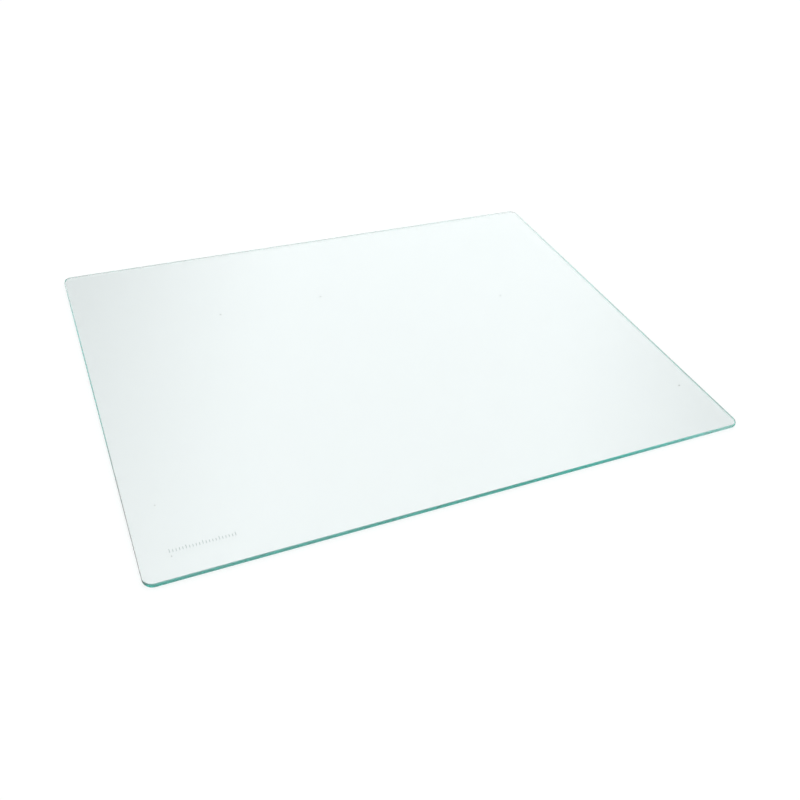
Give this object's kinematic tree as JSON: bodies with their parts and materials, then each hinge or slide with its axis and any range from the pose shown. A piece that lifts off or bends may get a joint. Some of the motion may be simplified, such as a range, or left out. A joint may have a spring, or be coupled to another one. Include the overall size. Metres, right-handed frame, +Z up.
{
  "type": "refrigerator glass shelf",
  "caption": "Flat rectangular pane of toughened float glass with rounded corners and a pencil-ground edge, which slides onto ribs in a refrigerator to carry food.",
  "frame": {"origin": "centre of the underside of the pane", "axes": "+X along the front edge to the right, +Y from the front of the cabinet to its back, +Z up out of the top face"},
  "size_m": [0.52, 0.412, 0.004],
  "materials": {
    "toughened_glass": "polished float faces with a satin pencil-ground edge, pale green tint"
  },
  "bodies": {
    "root": {"glass_pane": "toughened_glass"}
  },
  "joints": []
}
